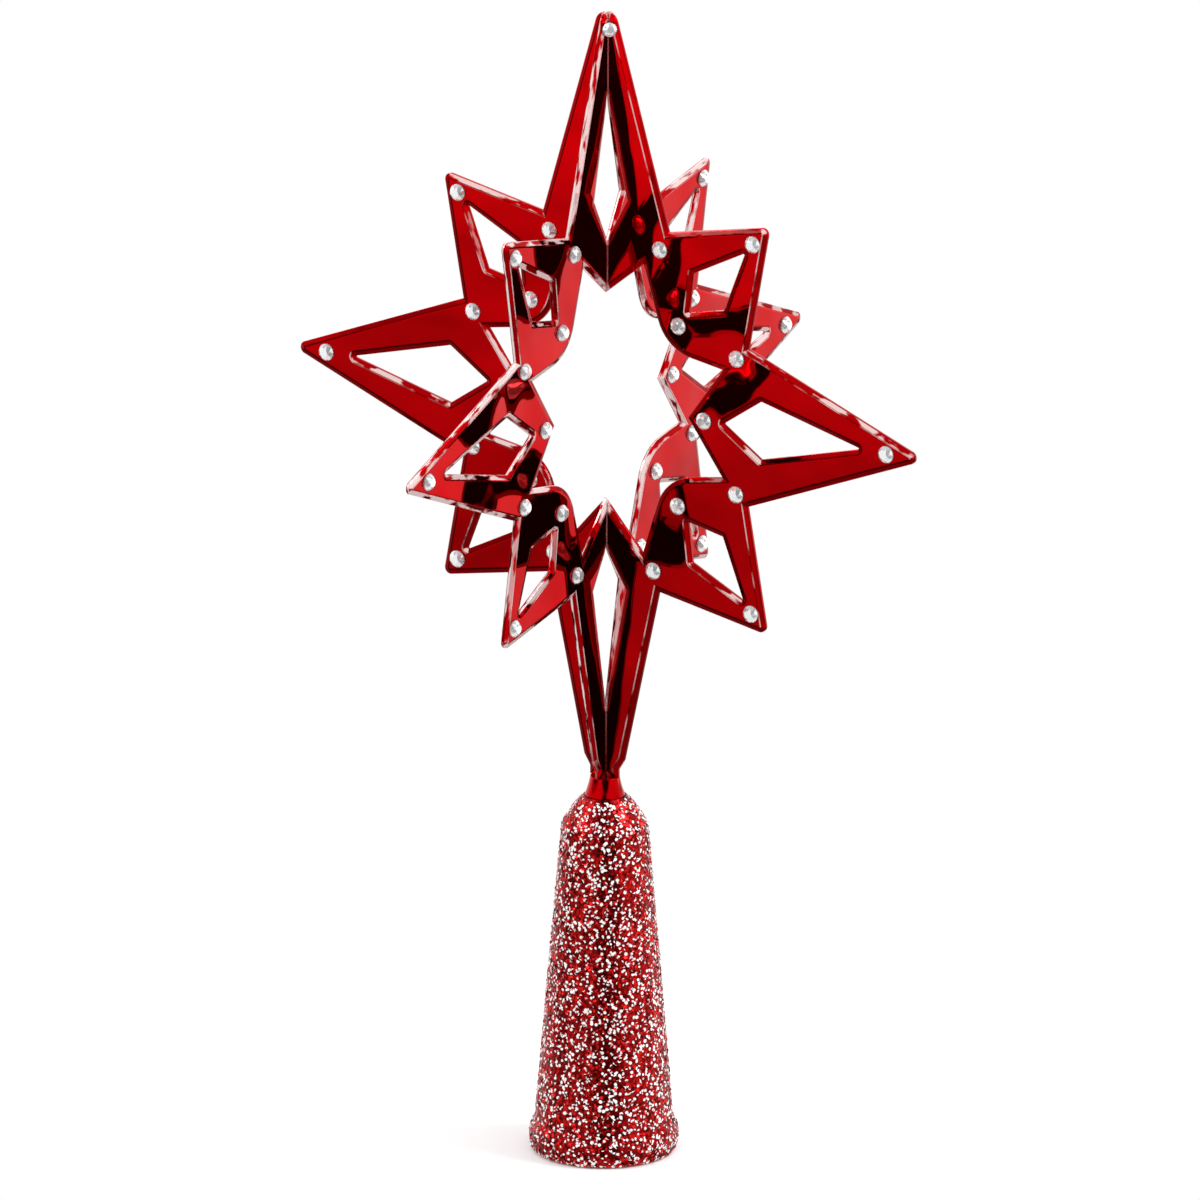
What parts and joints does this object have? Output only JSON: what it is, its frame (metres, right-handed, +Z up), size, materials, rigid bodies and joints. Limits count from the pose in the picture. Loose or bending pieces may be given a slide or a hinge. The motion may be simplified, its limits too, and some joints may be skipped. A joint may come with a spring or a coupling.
{
  "type": "tree topper star",
  "caption": "Red metallised eight-point star of two crossed pierced plates with clear stones, on a hollow glitter-covered cone that slips over a tree's top shoot.",
  "frame": {"origin": "centre of the foot ring, on the surface it stands on", "axes": "+Z up along the axis of cone and star, +X along the right side arm of plate A, +Y along the right side arm of plate B"},
  "size_m": [0.21, 0.21, 0.3429],
  "materials": {
    "red_metallised": "mirror",
    "clear_stone": "faceted",
    "cone_plastic": "moulded",
    "glitter": "glitter"
  },
  "bodies": {
    "root": {"bell_collar": "red_metallised", "cone_base": "cone_plastic", "glitter_coat": "glitter", "star_plate_a": "red_metallised", "star_plate_b": "red_metallised", "stones_inner_a_left_back": "clear_stone", "stones_inner_a_left_front": "clear_stone", "stones_inner_a_right_back": "clear_stone", "stones_inner_a_right_front": "clear_stone", "stones_inner_b_left_back": "clear_stone", "stones_inner_b_left_front": "clear_stone", "stones_inner_b_right_back": "clear_stone", "stones_inner_b_right_front": "clear_stone", "stones_tip_a_left_back": "clear_stone", "stones_tip_a_left_front": "clear_stone", "stones_tip_a_right_back": "clear_stone", "stones_tip_a_right_front": "clear_stone", "stones_tip_b_left_back": "clear_stone", "stones_tip_b_left_front": "clear_stone", "stones_tip_b_right_back": "clear_stone", "stones_tip_b_right_front": "clear_stone", "stones_top": "clear_stone", "stones_valley_a_left_back": "clear_stone", "stones_valley_a_left_front": "clear_stone", "stones_valley_a_right_back": "clear_stone", "stones_valley_a_right_front": "clear_stone", "stones_valley_b_left_back": "clear_stone", "stones_valley_b_left_front": "clear_stone", "stones_valley_b_right_back": "clear_stone", "stones_valley_b_right_front": "clear_stone"}
  },
  "joints": []
}
